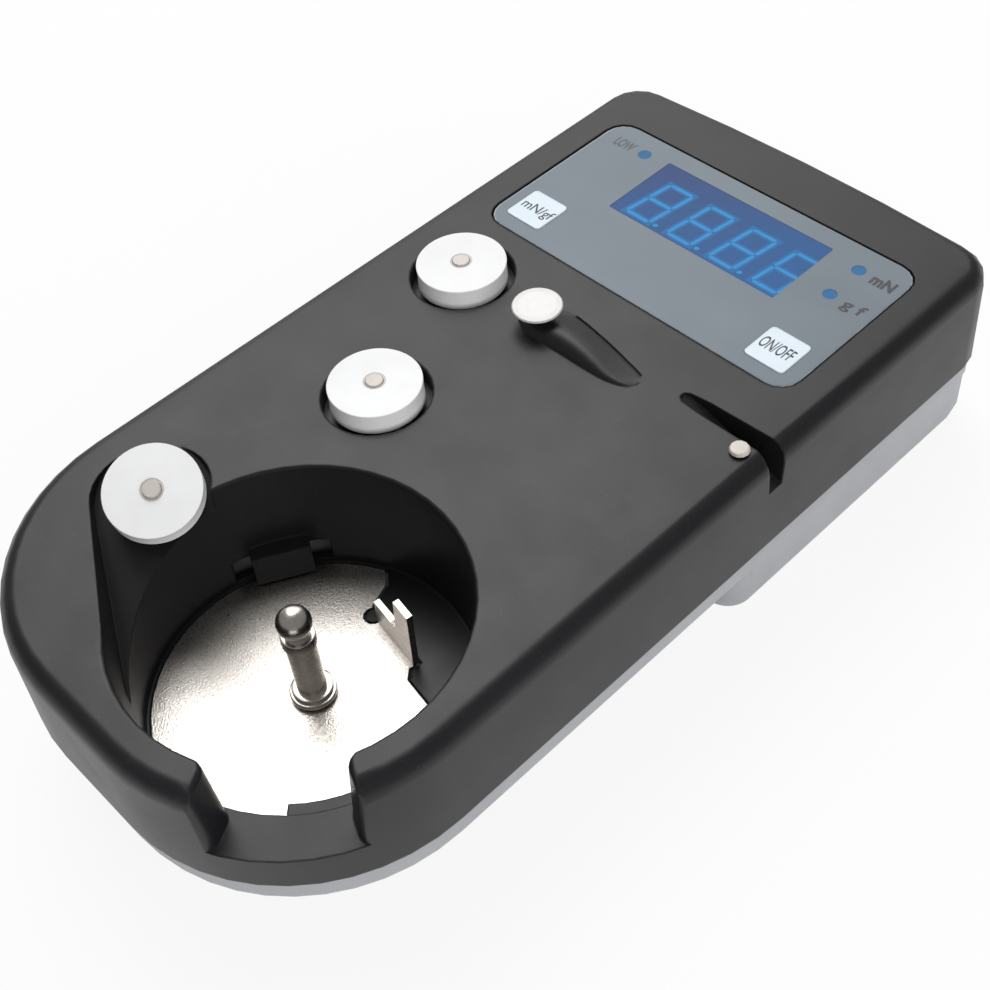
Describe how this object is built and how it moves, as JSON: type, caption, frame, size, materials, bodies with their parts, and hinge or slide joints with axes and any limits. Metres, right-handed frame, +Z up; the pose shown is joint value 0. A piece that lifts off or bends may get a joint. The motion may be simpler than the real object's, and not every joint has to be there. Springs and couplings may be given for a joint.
{
  "type": "thread tension meter",
  "caption": "Hand-sized digital thread tension meter with a round bobbin well, thread rollers, a guide post, a thread slot and a display panel.",
  "frame": {"origin": "middle of the plan, at the height of the underside that it rests on", "axes": "+X across to the right, +Y from the bobbin well to the display, +Z up"},
  "size_m": [0.065, 0.126, 0.0305],
  "materials": {
    "cover_black": "soft black, fine grain",
    "base_grey": "satin grey",
    "panel_film": "printed membrane, soft gloss",
    "window_blue": "tinted, clear gloss",
    "lamp_blue": "clear gloss",
    "roller_white": "smooth white",
    "button_white": "smooth white",
    "nickel": "warm nickel plate",
    "steel": "fine turned",
    "aluminium": "milled",
    "board_green": "solder mask",
    "black_plastic": "moulded",
    "battery_jacket": "plain jacket on steel",
    "ribbon_grey": "flat cable"
  },
  "bodies": {
    "case": {"top_cover": "cover_black", "base_shell": "base_grey", "display_overlay": "panel_film", "display_window": "window_blue", "lamp_low": "lamp_blue", "lamp_upper": "lamp_blue", "lamp_lower": "lamp_blue", "guide_post": "steel", "slot_pin": "steel", "axle_exit": "steel", "axle_sensing": "steel", "axle_inclined": "steel", "bobbin_plate": "nickel", "bobbin_post": "steel", "post_screw": "steel", "battery_contact_left": "nickel", "battery_contact_right": "nickel", "battery_1": "battery_jacket", "battery_2": "battery_jacket", "circuit_board": "board_green", "display_module": "black_plastic", "processor_chip": "black_plastic", "amplifier_chip": "black_plastic", "switch_unit": "black_plastic", "switch_power": "black_plastic", "board_screw_1": "steel", "board_screw_2": "steel", "load_cell": "aluminium", "load_cell_screw_1": "steel", "load_cell_screw_2": "steel", "sensor_ribbon": "ribbon_grey", "case_screw_1": "steel", "case_screw_2": "steel", "case_screw_3": "steel", "case_screw_4": "steel", "case_screw_5": "steel"},
    "exit_roller": {"roller_exit": "roller_white"},
    "sensing_roller": {"roller_sensing": "roller_white"},
    "inclined_roller": {"roller_inclined": "roller_white"},
    "unit_button": {"button_unit": "button_white"},
    "power_button": {"button_power": "button_white"},
    "door": {"battery_door": "base_grey"}
  },
  "joints": [
    {"name": "exit_roller_spin", "type": "hinge", "parent": "case", "child": "exit_roller", "pos_m": [-0.01918, 0.01373, 0.02855], "axis": [0, 0, 1], "continuous": true},
    {"name": "sensing_roller_spin", "type": "hinge", "parent": "case", "child": "sensing_roller", "pos_m": [-0.01098, -0.0087, 0.02855], "axis": [0, 0, 1], "continuous": true},
    {"name": "inclined_roller_spin", "type": "hinge", "parent": "case", "child": "inclined_roller", "pos_m": [-0.0172, -0.038, 0.0285], "axis": [0.2936, -0.2056, 0.9336], "continuous": true},
    {"name": "unit_button_press", "type": "slide", "parent": "case", "child": "unit_button", "axis": [0, 0, -1], "range_m": [0, 0.0004], "stiffness_N_per_m": 500, "springref_m": -0.0005},
    {"name": "power_button_press", "type": "slide", "parent": "case", "child": "power_button", "axis": [0, 0, -1], "range_m": [0, 0.0004], "stiffness_N_per_m": 500, "springref_m": -0.0005},
    {"name": "door_slide", "type": "slide", "parent": "case", "child": "door", "axis": [0, -1, 0], "range_m": [0, 0.006]}
  ]
}
